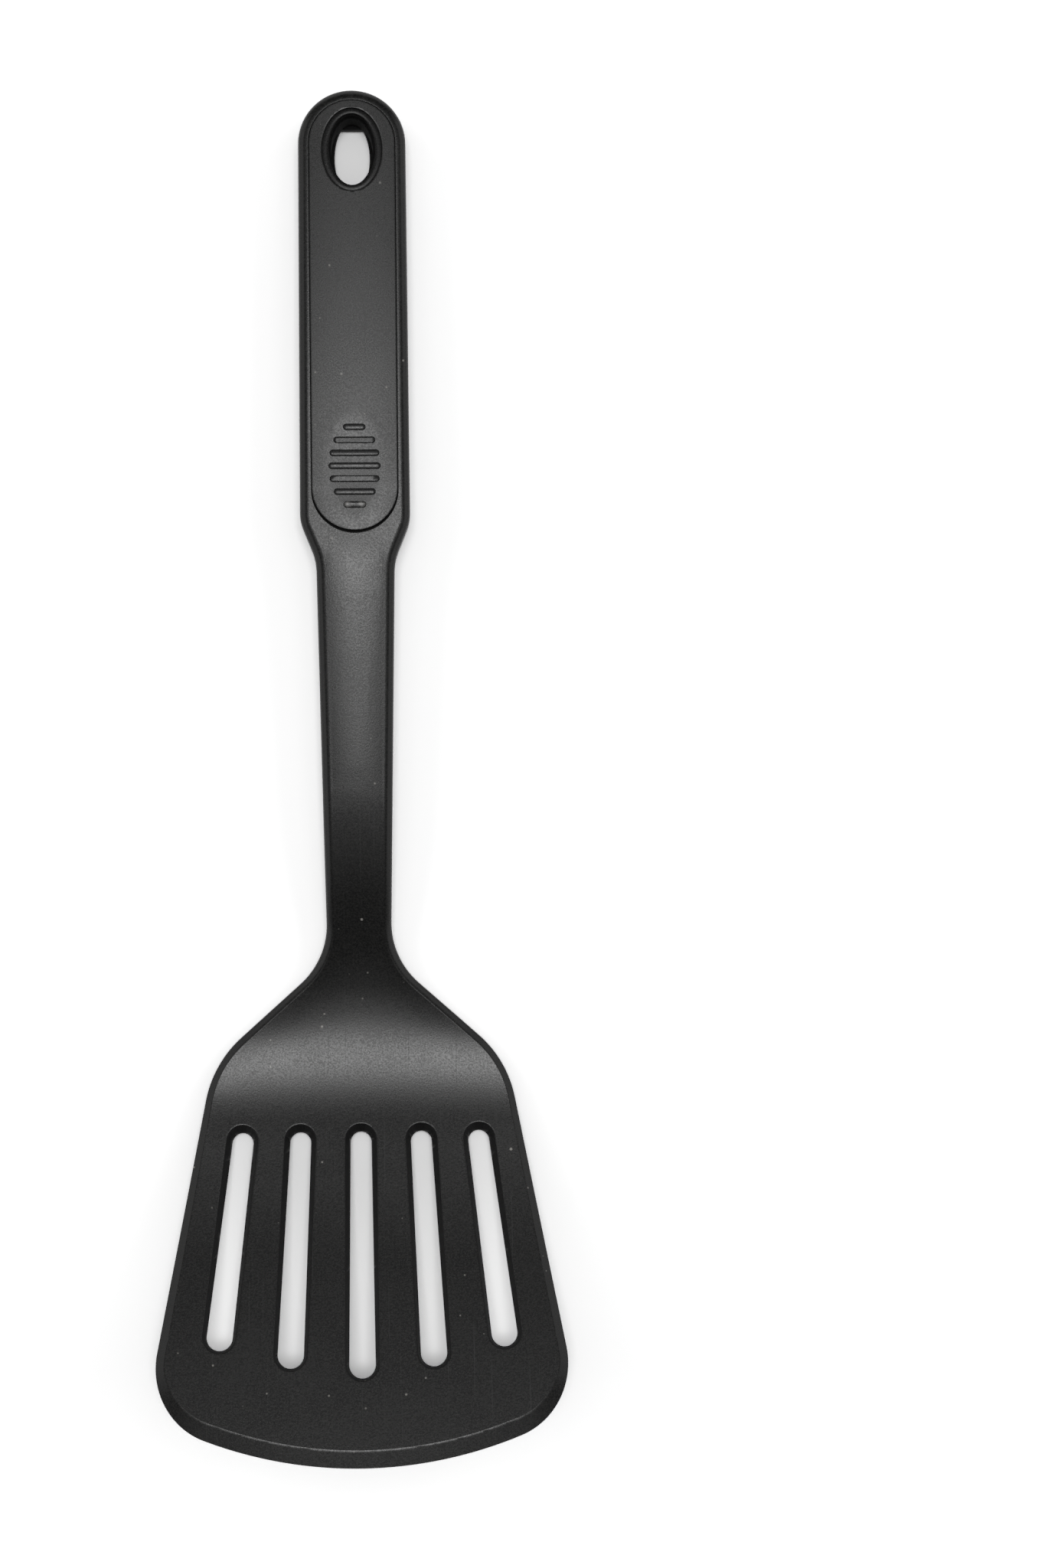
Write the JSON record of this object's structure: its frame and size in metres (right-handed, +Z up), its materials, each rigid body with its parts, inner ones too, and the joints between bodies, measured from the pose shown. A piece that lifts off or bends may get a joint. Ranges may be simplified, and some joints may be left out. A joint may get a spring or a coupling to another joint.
{
  "type": "slotted kitchen turner",
  "caption": "Slotted kitchen turner of black moulded nylon: a flared, tilted blade on a bent neck, and a hollow handle closed by an inset cover, with an oval hanging eye.",
  "frame": {"origin": "middle of the bounding box's bottom, on the table that the turner lies on", "axes": "+Y from the blade towards the end of the handle, +Z up from the table, food side up, X across the blade"},
  "size_m": [0.0954, 0.32, 0.0295],
  "materials": {
    "body_nylon": "fine spark-eroded grain, satin",
    "cover_nylon": "smoother satin than the body",
    "eye_nylon": "smooth satin"
  },
  "bodies": {
    "root": {"turner_body": "body_nylon", "handle_cover": "cover_nylon", "hanging_eye": "eye_nylon"}
  },
  "joints": []
}
